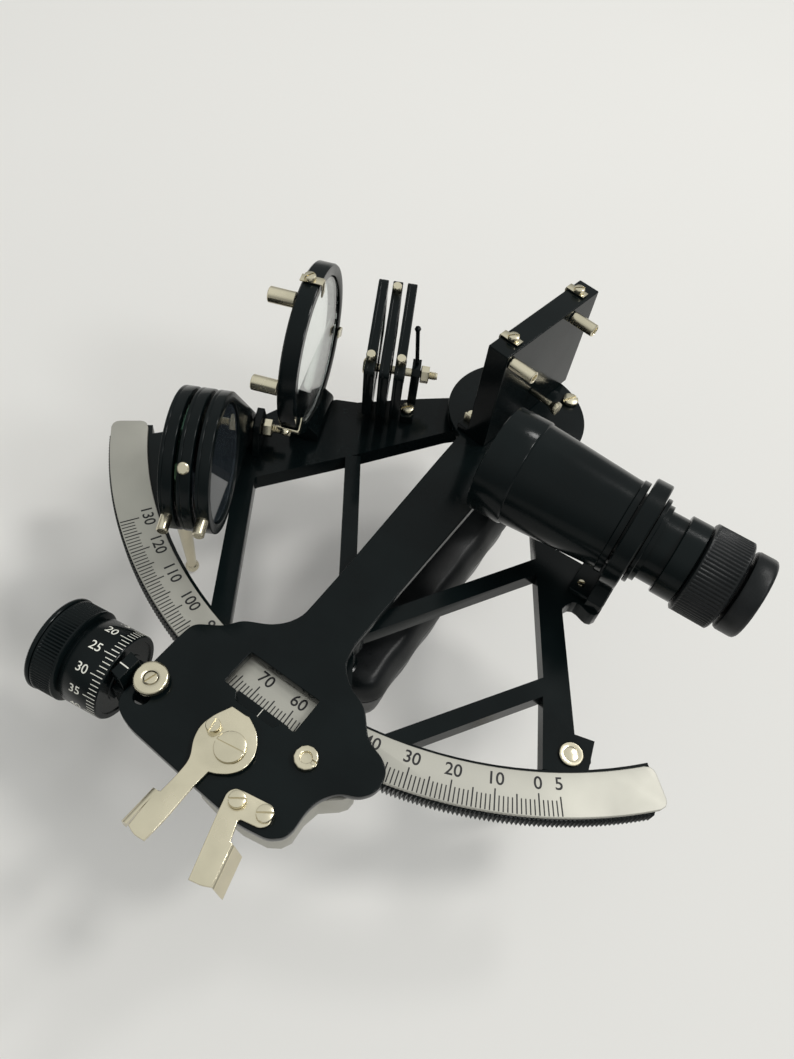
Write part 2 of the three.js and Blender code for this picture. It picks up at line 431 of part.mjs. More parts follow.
// ---------- release lever ----------
const lever = place(arm, ...LEVER_PIVOT);
const LEVER_OUTLINE = [[-4.5, -166.7], [-6, -167.3], [-8.6, -170.5], [-9.8, -176.5], [-8.8, -181.3],
  [-5.3, -186.5], [-5.1, -191.6], [-5.5, -198.2], [-6.9, -198.9], [-6.6, -210.5], [-3, -211.6],
  [0.6, -210.5], [1.1, -203.7], [1, -192.2], [1.5, -186.1], [3.4, -185.4], [6.8, -183.2],
  [9.3, -179.7], [9.5, -175.4], [7.9, -171.8], [4.9, -168.6], [0, -166.4]]
  .map(([x, y]) => [x - LEVER_PIVOT[0], y - LEVER_PIVOT[1]]);
const leverSolid = () => {
  const flange = prism([[-10.4, -21.4], [-9, -21.2], [-8.2, -33], [-9.7, -33.2]], 0, 7.2);
  const tie = prism([[-10.4, -21.6], [-8, -21.6], [-7.9, -33], [-9.7, -33.2]], 5.9, 7.2);
  return cut(union(prism(LEVER_OUTLINE, 5.9, 7.2), flange, tie, rod(2.3, 6, 9.8).translate(-8, 1.8, 0)),
    rod(2.9, 5, 8, 20));
};
add(lever, 'release_lever', leverSolid(), NICKEL);

// ---------- worm carriage, worm and drum ----------
const carriage = place(arm, ...CARRIAGE_PIVOT);
const CARRIAGE_BOTTOM = -12, CARRIAGE_TOP = 1;
const CARRIAGE_OUTLINE = [[38.2, -166], [38.4, -163.4], [30, -160], [10, -160], [-6, -160], [-8, -172],
  [-6, -184], [-2.5, -187.5], [0, -189.8], [6, -190.6], [17.5, -190.8], [25.5, -189.3], [29, -187],
  [30.6, -184], [30.3, -178], [31.5, -172.5], [36.5, -168.3]];
const MARK_BLOCK = [[-42.2, -181], [-38.2, -181.6], [-38.2, -173.4], [-42.2, -172.8]];
const wormFrame = place(arm, WORM_R * Math.sin(WORM_TURN * RAD), -WORM_R * Math.cos(WORM_TURN * RAD),
  WORM_Z, WORM_TURN);
const carriageSolid = () => {
  const alongWorm = (geometry) => alongX(geometry).rotateZ(WORM_TURN * RAD)
    .translate(wormFrame.position.x, wormFrame.position.y, WORM_Z);
  const block = prism(CARRIAGE_OUTLINE, CARRIAGE_BOTTOM, CARRIAGE_TOP);
  const bar = prism([[-42.2, -183], [-42.2, -171], [0, -165], [0, -177]], -9.8, CARRIAGE_TOP - 0.1);
  const solid = union(block, bar, prism(MARK_BLOCK, CARRIAGE_TOP - 1, 9.6),
    upright(2, CAP_AT, CARRIAGE_TOP - 1, 6.4));
  return cut(solid, rod(164.3, -14, 6, 160), alongWorm(rod(6.6, -8.6, 2.1, 20)),
    alongWorm(rod(2.3, -90, 6, 14)), upright(1.9, CARRIAGE_PIVOT, -14, 6, 20))
    .translate(-CARRIAGE_PIVOT[0], -CARRIAGE_PIVOT[1], 0);
};
add(carriage, 'worm_carriage', carriageSolid(), SILVER);
const CAP_PROFILE = [[2.3, 6], [5.6, 6], [5.6, 7.8], [5.1, 8.3], [2.3, 8.3], [2.3, 6]];
add(carriage, 'carriage_cap', cut(turned(CAP_PROFILE, 14), box(-6, -1, -0.4, 0.4, 7.8, 9)), NICKEL,
  CAP_AT[0] - CARRIAGE_PIVOT[0], CAP_AT[1] - CARRIAGE_PIVOT[1]);

// worm thread: the ridge at angle 0 faces the arm's pivot at the tangent point
const WORM_FROM = -8, WORM_TO = 1.5, WORM_SIDES = 10, WORM_STEPS = 4;
const worm = () => {
  const rows = Math.round((WORM_TO - WORM_FROM) / WORM_PITCH * WORM_STEPS);
  const positions = [], index = [];
  for (let i = 0; i <= rows; i++) {
    const x = WORM_FROM + (WORM_TO - WORM_FROM) * i / rows;
    for (let j = 0; j < WORM_SIDES; j++) {
      const turn = j / WORM_SIDES, phase = x / WORM_PITCH - turn;
      const off = Math.abs(phase - Math.round(phase)) * 2;
      const r = WORM_OUTER_R - WORM_DEPTH * Math.min(1, Math.max(0, (off - 0.12) / 0.76));
      positions.push(x, r * Math.cos(turn * 2 * Math.PI), r * Math.sin(turn * 2 * Math.PI));
    }
  }
  const at = (i, j) => i * WORM_SIDES + j % WORM_SIDES;
  for (let i = 0; i < rows; i++) {
    for (let j = 0; j < WORM_SIDES; j++) {
      index.push(at(i, j), at(i + 1, j + 1), at(i + 1, j), at(i, j), at(i, j + 1), at(i + 1, j + 1));
    }
  }
  const ends = positions.length / 3;
  positions.push(WORM_FROM, 0, 0, WORM_TO, 0, 0);
  for (let j = 0; j < WORM_SIDES; j++) {
    index.push(ends, at(0, j + 1), at(0, j), ends + 1, at(rows, j), at(rows, j + 1));
  }
  const g = new THREE.BufferGeometry();
  g.setAttribute('position', new THREE.BufferAttribute(new Float32Array(positions), 3));
  g.setIndex(index);
  return g;
};
const DRUM_FACE = -69.4, DRUM_END = -96;
add(wormFrame, 'worm_shaft', union(worm(), alongX(rod(2, DRUM_END + 1, 4.5, 20))), STEEL);
const drum = () => {
  const dial = alongX(turned([[2.3, DRUM_END + 0.2], [16.2, DRUM_END + 0.2], [16.2, DRUM_END + 2],
    [15, DRUM_END + 2], [15, -84.6], [13.6, -84.4], [13.6, -83.4], [14.7, -83.2], [14.7, DRUM_FACE],
    [2.3, DRUM_FACE], [2.3, DRUM_END + 0.2]], 24));
  return union(dial, knurled(15.9, DRUM_END + 1.5, -84.8, 14, 20));
};
add(wormFrame, 'micrometer_drum', drum(), BLACK);

// ---------- ground the feet and centre the plan ----------
const bounds = new THREE.Box3().setFromObject(group);
const centre = bounds.getCenter(new THREE.Vector3());
sextant.position.set(-centre.x, -centre.y, -FOOT_Z);

export default group;
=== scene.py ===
"""Looks for the nautical sextant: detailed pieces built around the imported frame.

Pieces are built in millimetres and degrees; to_object brings them to metres. SEXTANT has its origin on the
pivot, level with the top of the scale plate, +X along the telescope; ARM is the same turned with the arm.
"""
import json
import math
import bmesh
import bpy
from mathutils import Matrix, Vector


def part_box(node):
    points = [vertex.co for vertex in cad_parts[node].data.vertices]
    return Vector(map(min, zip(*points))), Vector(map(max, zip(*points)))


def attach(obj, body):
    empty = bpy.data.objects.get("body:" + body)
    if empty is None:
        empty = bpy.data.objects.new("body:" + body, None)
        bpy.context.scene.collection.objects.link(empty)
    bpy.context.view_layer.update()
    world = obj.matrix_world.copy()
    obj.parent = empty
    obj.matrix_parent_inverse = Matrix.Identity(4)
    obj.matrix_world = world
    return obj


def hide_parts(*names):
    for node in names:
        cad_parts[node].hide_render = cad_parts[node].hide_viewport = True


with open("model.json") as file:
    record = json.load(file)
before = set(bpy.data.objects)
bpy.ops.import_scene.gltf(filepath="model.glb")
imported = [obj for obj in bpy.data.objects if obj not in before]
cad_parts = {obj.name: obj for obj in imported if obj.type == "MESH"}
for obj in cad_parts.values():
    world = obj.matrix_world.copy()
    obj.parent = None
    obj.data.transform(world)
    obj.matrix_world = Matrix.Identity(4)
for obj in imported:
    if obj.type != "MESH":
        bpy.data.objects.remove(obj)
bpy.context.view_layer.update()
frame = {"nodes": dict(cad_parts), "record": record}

MM = 0.001
RAD = math.pi / 180
SCALE = Matrix.Scale(MM, 4)
BODY_OF = {n: b for b, nodes in frame["record"]["behaviour"]["bodies"].items() for n in nodes}


# ---------- places ----------
def move(x=0.0, y=0.0, z=0.0, turn=0.0):
    return Matrix.Translation((x, y, z)) @ Matrix.Rotation(turn * RAD, 4, "Z")


low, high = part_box("pivot_bearing")
GRADUATED_Z = 71
SEXTANT = move((low[0] + high[0]) / 2 / MM, (low[1] + high[1]) / 2 / MM, GRADUATED_Z)
READING, ZERO_DEG = 65.5, -58.75
ARM = SEXTANT @ move(turn=ZERO_DEG - READING / 2 + 90)
ALONG_X = Matrix.Rotation(math.pi / 2, 4, "Y")
ALONG_NEG_X = Matrix.Rotation(-math.pi / 2, 4, "Y")
ALONG_NEG_Y = Matrix.Rotation(math.pi / 2, 4, "X")
X_PRISM = Matrix(((0, 0, 1, 0), (1, 0, 0, 0), (0, 1, 0, 0), (0, 0, 0, 1)))
SIGHT_Z = 33
SEAT_Z = -1.8


# ---------- materials ----------
def new_material(name, color, rough, metal=0.0, **sockets):
    m = bpy.data.materials.new(name)
    m.use_nodes = True
    b = m.node_tree.nodes["Principled BSDF"]
    b.inputs["Base Color"].default_value = (*color, 1)
    b.inputs["Roughness"].default_value = rough
    b.inputs["Metallic"].default_value = metal
    for key, value in sockets.items():
        b.inputs[key].default_value = value
    return m


BUMP_DEPTH_M = 0.0002


def detail(m, scale, rough=(0.3, 0.5), bump=0.1, bump_scale=None, tint=None):
    """Roughness, bump and colour variation from noise in object space; scale is in 1/m."""
    nt = m.node_tree
    shader = nt.nodes["Principled BSDF"]
    coord = nt.nodes.new("ShaderNodeTexCoord")

    def noise(s, d=4.0):
        n = nt.nodes.new("ShaderNodeTexNoise")
        n.inputs["Scale"].default_value = s
        n.inputs["Detail"].default_value = d
        nt.links.new(coord.outputs["Object"], n.inputs["Vector"])
        return n

    patches = noise(scale)
    span = nt.nodes.new("ShaderNodeMapRange")
    span.inputs["From Min"].default_value = 0.3
    span.inputs["From Max"].default_value = 0.7
    span.inputs["To Min"].default_value, span.inputs["To Max"].default_value = rough
    nt.links.new(patches.outputs["Fac"], span.inputs["Value"])
    nt.links.new(span.outputs["Result"], shader.inputs["Roughness"])
    if tint:
        ramp = nt.nodes.new("ShaderNodeValToRGB")
        ramp.color_ramp.elements[0].position = 0.35
        ramp.color_ramp.elements[1].position = 0.65
        ramp.color_ramp.elements[0].color = shader.inputs["Base Color"].default_value
        ramp.color_ramp.elements[1].color = (*tint, 1)
        nt.links.new(noise(scale * 0.6).outputs["Fac"], ramp.inputs["Fac"])
        nt.links.new(ramp.outputs["Color"], shader.inputs["Base Color"])
    grain = noise(bump_scale or scale * 8, 3.0)
    b = nt.nodes.new("ShaderNodeBump")
    b.inputs["Strength"].default_value = bump
    b.inputs["Distance"].default_value = BUMP_DEPTH_M
    nt.links.new(grain.outputs["Fac"], b.inputs["Height"])
    nt.links.new(b.outputs["Normal"], shader.inputs["Normal"])
    return m


ENAMEL = detail(new_material("black_enamel", (0.0022, 0.0042, 0.0046), 0.3, 0.0,
                             **{"Specular IOR Level": 0.13}), 60, (0.13, 0.24), 0.08, 900,
                (0.004, 0.0068, 0.0072))
SCALE_METAL = detail(new_material("satin_silver", (0.45, 0.44, 0.39), 0.4, 0.6), 45, (0.4, 0.54), 0.06,
                     2600,
                     (0.39, 0.38, 0.34))
STEEL = detail(new_material("bare_steel", (0.55, 0.55, 0.53), 0.3, 1.0), 90, (0.2, 0.38), 0.06, 1500,
               (0.48, 0.48, 0.46))
NICKEL = detail(new_material("champagne_nickel", (0.72, 0.66, 0.50), 0.2, 1.0), 120, (0.16, 0.3), 0.05,
                1600,
                (0.62, 0.57, 0.43))
PLASTIC = detail(new_material("black_moulding", (0.003, 0.0045, 0.005), 0.45, 0.0,
                              **{"Specular IOR Level": 0.2}), 80, (0.26, 0.42), 0.22, 1800,
                 (0.013, 0.014, 0.015))
GLASS = detail(new_material("optical_glass", (0.93, 0.97, 0.95), 0.02, 0.0,
                            **{"Transmission Weight": 1.0, "IOR": 1.46}),
               40, (0.01, 0.04), 0.005, 300)
SILVERED = detail(new_material("silvered_glass", (0.86, 0.88, 0.87), 0.02, 1.0), 40, (0.01, 0.05), 0.004,
                  300)
SHADES = [detail(new_material(f"shade_glass_{k}", c, 0.04, 0.0,
                              **{"Transmission Weight": 0.85, "IOR": 1.46}),
                 40, (0.02, 0.07), 0.005, 300)
          for k, c in (("green", (0.10, 0.20, 0.15)), ("red", (0.20, 0.11, 0.10)),
                       ("grey", (0.12, 0.15, 0.18)))]
INK = detail(new_material("engraving_ink", (0.004, 0.004, 0.005), 0.6), 200, (0.5, 0.7), 0.05)
PAINT = detail(new_material("white_fill", (0.78, 0.77, 0.70), 0.55), 200, (0.45, 0.65), 0.05, None,
               (0.66, 0.65, 0.58))
COPPER = detail(new_material("copper_washer", (0.62, 0.30, 0.18), 0.3, 1.0), 200, (0.22, 0.4), 0.05)


# ---------- meshes (built in millimetres) ----------
def polar(r, deg, z=None):
    p = (r * math.cos(deg * RAD), r * math.sin(deg * RAD))
    return p if z is None else (*p, z)


def arc(r, a0, a1, n, centre=(0, 0)):
    return [(centre[0] + r * math.cos((a0 + (a1 - a0) * i / n) * RAD),
             centre[1] + r * math.sin((a0 + (a1 - a0) * i / n) * RAD)) for i in range(n + 1)]


def circle(r, centre=(0, 0), n=48):
    return arc(r, 0, 360, n, centre)[:-1]


def rounded(points, r, n=4, skip=()):
    """A closed outline with its corners rounded to radius r."""
    out = []
    for i, p in enumerate(points):
        p, a, b = Vector(p), Vector(points[i - 1]), Vector(points[(i + 1) % len(points)])
        u, v = (a - p), (b - p)
        cut = min(r, u.length * 0.45, v.length * 0.45)
        if i in skip or cut < 0.05:
            out.append(tuple(p))
            continue
        s, e = p + u.normalized() * cut, p + v.normalized() * cut
        for k in range(n + 1):
            t = k / n
            out.append(tuple(s.lerp(p, t).lerp(p.lerp(e, t), t)))
    return out


def rect(x0, y0, x1, y1, r=0.0, n=5):
    pts = [(x0, y0), (x1, y0), (x1, y1), (x0, y1)]
    return rounded(pts, r, n) if r else pts


def lathe(profile, segments=72):
    """A profile of (r, z) pairs turned about Z: closed by the axis if it ends there, otherwise as a loop."""
    bm = bmesh.new()
    rings = []
    for r, z in profile:
        if r < 1e-6:
            rings.append([bm.verts.new((0, 0, z))])
        else:
            rings.append([bm.verts.new(polar(r, 360 * i / segments, z)) for i in range(segments)])
    pairs = list(zip(rings, rings[1:]))
    if len(rings[0]) > 1:
        pairs.append((rings[-1], rings[0]))
    for a, b in pairs:
        for i in range(segments):
            j = (i + 1) % segments
            quad = [a[i % len(a)], a[j % len(a)], b[j % len(b)], b[i % len(b)]]
            face = list(dict.fromkeys(quad))
            if len(face) > 2:
                bm.faces.new(face)
    bmesh.ops.recalc_face_normals(bm, faces=bm.faces)
    return bm


def plate(loops, z0, z1, bevel=0.3, res=2):
    """Outlines (outer first, then holes) extruded from z0 to z1 with rounded edges."""
    curve = bpy.data.curves.new("plate", "CURVE")
    curve.dimensions, curve.fill_mode = "2D", "BOTH"
    for loop in loops:
        spline = curve.splines.new("POLY")
        spline.points.add(len(loop) - 1)
        for point, (x, y) in zip(spline.points, loop):
            point.co = (x, y, 0, 1)
        spline.use_cyclic_u = True
    bevel = min(bevel, (z1 - z0) * 0.45)
    curve.extrude = (z1 - z0) / 2 - bevel
    curve.bevel_depth, curve.bevel_resolution, curve.offset = bevel, res, -bevel
    holder = bpy.data.objects.new("plate", curve)
    mesh = bpy.data.meshes.new_from_object(holder)
    bm = bmesh.new()
    bm.from_mesh(mesh)
    bpy.data.objects.remove(holder)
    bpy.data.curves.remove(curve)
    bpy.data.meshes.remove(mesh)
    bmesh.ops.translate(bm, verts=bm.verts, vec=(0, 0, (z0 + z1) / 2))
    bmesh.ops.remove_doubles(bm, verts=bm.verts, dist=1e-4)
    bmesh.ops.recalc_face_normals(bm, faces=bm.faces)
    return bm


def moved(bm, matrix):
    bmesh.ops.transform(bm, matrix=matrix, verts=bm.verts)
    return bm


def joined(*parts):
    out = parts[0]
    for part in parts[1:]:
        mesh = bpy.data.meshes.new("join")
        part.to_mesh(mesh)
        part.free()
        out.from_mesh(mesh)
        bpy.data.meshes.remove(mesh)
    return out


def to_object(name, bm, matrix, material, angle=38):
    mesh = bpy.data.meshes.new(name)
    moved(bm, SCALE @ matrix)
    bm.to_mesh(mesh)
    bm.free()
    for m in material if isinstance(material, (list, tuple)) else [material]:
        mesh.materials.append(m)
    mesh.shade_smooth()
    mesh.set_sharp_from_angle(angle=angle * RAD)
    obj = bpy.data.objects.new(name, mesh)
    bpy.context.scene.collection.objects.link(obj)
    return obj


def boolean(bm, cutter):
    """bm with the cutter taken away."""
    objs = []
    for i, b in enumerate((bm, cutter)):
        mesh = bpy.data.meshes.new(f"bool{i}")
        b.to_mesh(mesh)
        b.free()
        objs.append(bpy.data.objects.new(f"bool{i}", mesh))
        bpy.context.scene.collection.objects.link(objs[-1])
    mod = objs[0].modifiers.new("b", "BOOLEAN")
    mod.operation, mod.object, mod.solver = "DIFFERENCE", objs[1], "EXACT"
    graph = bpy.context.evaluated_depsgraph_get()
    result = bmesh.new()
    result.from_mesh(objs[0].evaluated_get(graph).data)
    for o in objs:
        bpy.data.objects.remove(o)
    return result


def stand_for(node, bm, matrix, material, angle=38):
    """A detailed piece in the place of a CAD node, on the same body."""
    obj = to_object(f"{node}_detail", bm, matrix, material, angle)
    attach(obj, BODY_OF[node])
    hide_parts(node)
    return obj


def extra(name, node, bm, matrix, material, angle=38):
    """A piece with no CAD node of its own that belongs with a node's body."""
    obj = to_object(name, bm, matrix, material, angle)
    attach(obj, BODY_OF[node])
    return obj


def from_cad(node, material, bevel=0.35, angle=30, segments=2, keep=None, name=None):
    """The CAD solid itself with rounded edges. keep is a (point, normal) plane; what it faces is cut off."""
    bm = bmesh.new()
    bm.from_mesh(frame["nodes"][node].data)
    moved(bm, frame["nodes"][node].matrix_world)
    moved(bm, Matrix.Scale(1 / MM, 4))
    bmesh.ops.remove_doubles(bm, verts=bm.verts, dist=1e-3)
    bmesh.ops.dissolve_limit(bm, angle_limit=1.0 * RAD, verts=bm.verts, edges=bm.edges)
    if keep:
        point, normal = keep
        everything = bm.verts[:] + bm.edges[:] + bm.faces[:]
        cut = bmesh.ops.bisect_plane(bm, geom=everything, dist=1e-4, plane_co=point, plane_no=normal,
                                     clear_outer=True)
        rim = [e for e in cut["geom_cut"] if isinstance(e, bmesh.types.BMEdge)]
        bmesh.ops.triangle_fill(bm, edges=rim, use_beauty=True)
        bmesh.ops.recalc_face_normals(bm, faces=bm.faces)
    obj = to_object(name or f"{node}_detail", bm, Matrix.Identity(4), material, 60)
    mod = obj.modifiers.new("edges", "BEVEL")
    mod.width, mod.segments, mod.limit_method, mod.angle_limit = bevel * MM, segments, "ANGLE", angle * RAD
    mod.harden_normals = True
    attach(obj, BODY_OF[node])
    if not name:
        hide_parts(node)
    return obj


def lettering(text, size, weight=0.012):
    """Digits as a flat mesh centred on the origin, height along +Y."""
    curve = bpy.data.curves.new("digits", "FONT")
    curve.body, curve.size, curve.align_x, curve.align_y = text, size, "CENTER", "CENTER"
    curve.extrude, curve.offset = 0.015, size * weight
    holder = bpy.data.objects.new("digits", curve)
    mesh = bpy.data.meshes.new_from_object(holder)
    bm = bmesh.new()
    bm.from_mesh(mesh)
    bpy.data.objects.remove(holder)
    bpy.data.curves.remove(curve)
    bpy.data.meshes.remove(mesh)
    return bm


def block(x0, x1, y0, y1, z0, z1):
    bm = bmesh.new()
    bmesh.ops.create_cube(bm, size=1, matrix=Matrix.Translation(((x0 + x1) / 2, (y0 + y1) / 2,
            (z0 + z1) / 2))
                          @ Matrix.Diagonal((x1 - x0, y1 - y0, z1 - z0, 1)))
    return bm


# ---------- hardware ----------
def slotted_head(r, h, slot=0.7, dome=0.0, shank=1.2, length=3.0, turn=20.0):
    head = lathe([(0, -length), (shank, -length), (shank, 0), (r - 0.15, 0), (r, 0.15), (r, h - 0.45),
                  (r - 0.15, h - 0.15),
                  (r - 0.5, h), (0, h + dome)], 40)
    groove = moved(block(-r - 1, r + 1, -slot / 2, slot / 2, h * 0.45, h + 2),
                   Matrix.Rotation(turn * RAD, 4, "Z"))
    return boolean(head, groove)


def adjuster(r, length):
    """A tube with a square-drive screw sunk in its open end."""
    tube = lathe([(0, 0), (r - 0.15, 0), (r, 0.15), (r, length - 0.3), (r - 0.3, length),
                  (r * 0.68, length),
                  (r * 0.64, length - 0.3), (r * 0.64, length - 3), (0, length - 3)], 40)
    return joined(tube, block(-r * 0.3, r * 0.3, -r * 0.3, r * 0.3, length - 3.2, length - 1.2))


def hexagon_nut(r, t):
    return plate([[polar(r, 60 * i + 30) for i in range(6)], circle(r * 0.5, n=24)], 0, t, 0.3)


def threaded(r, z0, z1, pitch=0.8, segments=20):
    """A rod with turned thread grooves from z0 to z1."""
    profile, z = [(0, z0), (r - 0.25, z0)], z0
    while z + pitch < z1:
        profile += [(r, z + pitch * 0.35), (r, z + pitch * 0.5), (r - 0.3, z + pitch * 0.95)]
        z += pitch
    return lathe(profile + [(r - 0.3, z1), (0, z1)], segments)


def clip(depth, reach, width=3.4):
    """A bent spring strip over an edge, with its screw."""
    t, w = 0.5, width / 2
    strip = [(-1.6, 0.1), (depth, 0.1), (depth + 0.25, -0.3), (depth + 0.1, -reach), (depth + 0.6, -reach),
             (depth + 0.85, -0.3), (depth + 0.6, t), (depth, 0.1 + t), (-1.6, 0.1 + t)]
    strip = moved(plate([strip], -w, w, 0.12, 1), ALONG_NEG_Y)
    return joined(strip, moved(slotted_head(2.1, 1.7, 0.5, 0.1, 1.0, 0.2, 50),
                               Matrix.Translation((1.7, 0, 0.6))))


# ---------- frame, arc and rack ----------
from_cad("sextant_frame", ENAMEL, 0.45)
ARC_R, ARC_INNER_R, ARC_FROM, ARC_TO = 162, 148.2, -141.5, -44
CORNER = 3


def arc_strip():
    """Scale plate outline with rounded corners."""
    o, i = CORNER / ARC_R / RAD, CORNER / ARC_INNER_R / RAD
    pts = arc(ARC_R, ARC_FROM + o, ARC_TO - o, 160)
    pts += rounded_corner(ARC_R, ARC_TO, -1, o) + rounded_corner(ARC_INNER_R, ARC_TO, 1, i)[::-1]
    pts += arc(ARC_INNER_R, ARC_TO - i, ARC_FROM + i, 160)
    pts += [polar(ARC_INNER_R + CORNER * (1 - math.cos(t * 0.25 * math.pi)) if t else ARC_INNER_R,
                  ARC_FROM + i * (1 - math.sin(t * 0.25 * math.pi))) for t in (0.8, 1.4)]
    pts += [polar(ARC_INNER_R + CORNER, ARC_FROM), polar(ARC_R - CORNER, ARC_FROM)]
    pts += [polar(ARC_R - CORNER * (1 - math.cos(t * 0.25 * math.pi)),
                  ARC_FROM + o * (1 - math.sin(t * 0.25 * math.pi)))
            for t in (1.4, 0.8)]
    return pts


def rounded_corner(r, edge_deg, sign, span):
    """Two points easing a corner between the rim at radius r and the end edge."""
    return [polar(r + sign * CORNER * (1 - math.cos(t * 0.25 * math.pi)),
                  edge_deg - span * (1 - math.sin(t * 0.25 * math.pi)))
            for t in (0.8, 1.4)] + [polar(r + sign * CORNER, edge_deg)]


stand_for("arc_scale_plate", plate([arc_strip()], SEAT_Z, 0, 0.25), SEXTANT, SCALE_METAL)
from_cad("arc_rack", ENAMEL, 0.06, 40, 1)


def reading_deg(r):
    """Direction of a scale reading: the arc is marked with twice the angle of the arm."""
    return ZERO_DEG - r / 2


def radial_tick(r0, r1, deg, width, z0=-0.02, z1=0.025):
    return moved(block(r0, r1, -width / 2, width / 2, z0, z1), Matrix.Rotation(deg * RAD, 4, "Z"))


NUMERAL_SIZE, NUMERAL_R = 5.6, 151.9
LOWEST_READING, HIGHEST_READING = -5, 130
TICK_WIDTH, FIFTH_TICK_WIDTH = 0.4, 0.46
TICK_OUT, TICK_LONG, TICK_MID, TICK_SHORT = 161.7, 154.9, 155.7, 156.9
ticks = joined(*[radial_tick(TICK_LONG if r % 10 == 0 else TICK_MID if r % 5 == 0 else TICK_SHORT, TICK_OUT,
                             reading_deg(r), TICK_WIDTH if r % 5 else FIFTH_TICK_WIDTH)
                 for r in range(LOWEST_READING, HIGHEST_READING + 1)])
extra("scale_ticks", "arc_scale_plate", ticks, SEXTANT, INK)
numerals = joined(*[moved(lettering(str(abs(r)), NUMERAL_SIZE),
                          Matrix.Rotation((reading_deg(r) + 90) * RAD, 4, "Z")
                          @ Matrix.Translation((0, -NUMERAL_R, 0.01)))
                    for r in [LOWEST_READING, *range(0, HIGHEST_READING + 1, 10)]])
extra("scale_numerals", "arc_scale_plate", numerals, SEXTANT, INK)

# ---------- legs, handle, bearing ----------
LEGS = {"left": (-92, -104.8), "right": (83.4, -114.7), "apex": (2, 17.7)}
BALL_R, BALL_Z = 2.95, -68
ball = [(BALL_R * math.cos(t * RAD), BALL_Z + BALL_R * math.sin(t * RAD)) for t in range(-54, 46, 9)]
leg_profile = ([(0, -GRADUATED_Z), (1.7, -GRADUATED_Z)] + ball[1:] + [(1.95, -65.6), (2.0, -64.6),
        (2.3, -58), (3.9, -17.2), (4.15, -16.4), (4.2, -15.2),
               (4.6, -14.6), (5.3, -14.1), (5.5, -13.6), (5.5, -9.7), (5.2, -9.4), (2.1, -9.4), (2.1, -1.8),
        (3.7, -1.8),
               (3.9, -1.6), (3.9, -1.15), (3.7, -0.95), (2.6, -0.9), (2.4, -1.0), (2.2, -0.9), (0, -0.9)])
for side, (x, y) in LEGS.items():
    stand_for(f"leg_{side}", lathe(leg_profile, 56), SEXTANT @ move(x, y), NICKEL)

# Half of the grip's section across the fingers, as (x, z)
GRIP_HALF = [(0, -27), (11, -27), (13.4, -27.8), (15.3, -30.2), (16.6, -33), (17.2, -35), (17.3, -36.0),
             (16.7, -36.15),
             (16.7, -36.55), (17.3, -36.7), (17.2, -38), (16.4, -40), (16.1, -46), (15.3, -51.5),
             (13, -56.6), (9.6, -59.8), (5, -60.9),
             (0, -61)]

GRIP_STATIONS, GRIP_TOP_Y, GRIP_LENGTH, GRIP_END, GRIP_MIDDLE_Y, GRIP_Z = 46, -13, 115, 9, -70, -44
WAIST_DEPTH, WAISTS = 0.035, 6


def grip():
    """Cross-sections along the handle, shrinking into rounded ends and waisted where the fingers go."""
    bm = bmesh.new()
    section = GRIP_HALF + [(-x, z) for x, z in reversed(GRIP_HALF[1:-1])]
    rings = []
    for k in range(GRIP_STATIONS + 1):
        y = GRIP_TOP_Y - 0.05 - (GRIP_LENGTH - 0.1) * (1 - math.cos(math.pi * k / GRIP_STATIONS)) / 2
        end = min(y + GRIP_LENGTH - GRIP_TOP_Y, GRIP_TOP_Y - y)
        ease = math.sqrt(max(0.0, 1 - max(0.0, 1 - end / GRIP_END) ** 2))
        waist = WAIST_DEPTH * math.cos((y - GRIP_MIDDLE_Y) / GRIP_LENGTH * WAISTS * math.pi) ** 2
        wide = (0.25 + 0.75 * ease) * (1 - waist)
        tall = 0.55 + 0.45 * ease
        rings.append([bm.verts.new((x * wide, y, GRIP_Z + (z - GRIP_Z) * tall)) for x, z in section])
    n = len(section)
    for a, b in zip(rings, rings[1:]):
        for i in range(n):
            bm.faces.new((a[i], a[(i + 1) % n], b[(i + 1) % n], b[i]))
    bm.faces.new(rings[0])
    bm.faces.new(rings[-1])
    bmesh.ops.recalc_face_normals(bm, faces=bm.faces)
    return bm


stand_for("handle_grip", grip(), SEXTANT, PLASTIC, 40)
POSTS = [(0, -19), (0, -121)]
post = [(0, -30), (4.4, -30), (4.4, -27.1), (5.2, -27), (5.3, -26.3), (4.5, -26), (4.4, -12.4),
        (5.2, -12.2), (5.3, -9.6), (5.1, -9.4), (0, -9.4)]
mount = plate([rect(-5.9, -125.4, 5.9, -14.6, 5.6)], -32, -28, 0.4)
stand_for("handle_mount", joined(mount, *[moved(lathe(post, 40), move(x, y)) for x, y in POSTS]), SEXTANT,
          ENAMEL)
bearing = [(0, -24), (8.4, -24), (9, -23.6), (10.7, -22.4), (11, -22), (11, -1.8), (12.7, -1.8), (13, -1.5),
           (13, 0.9), (12.8, 1.1),
           (4.3, 1.1), (4.3, -21), (0, -21)]
stand_for("pivot_bearing", lathe(bearing, 72), SEXTANT, STEEL)

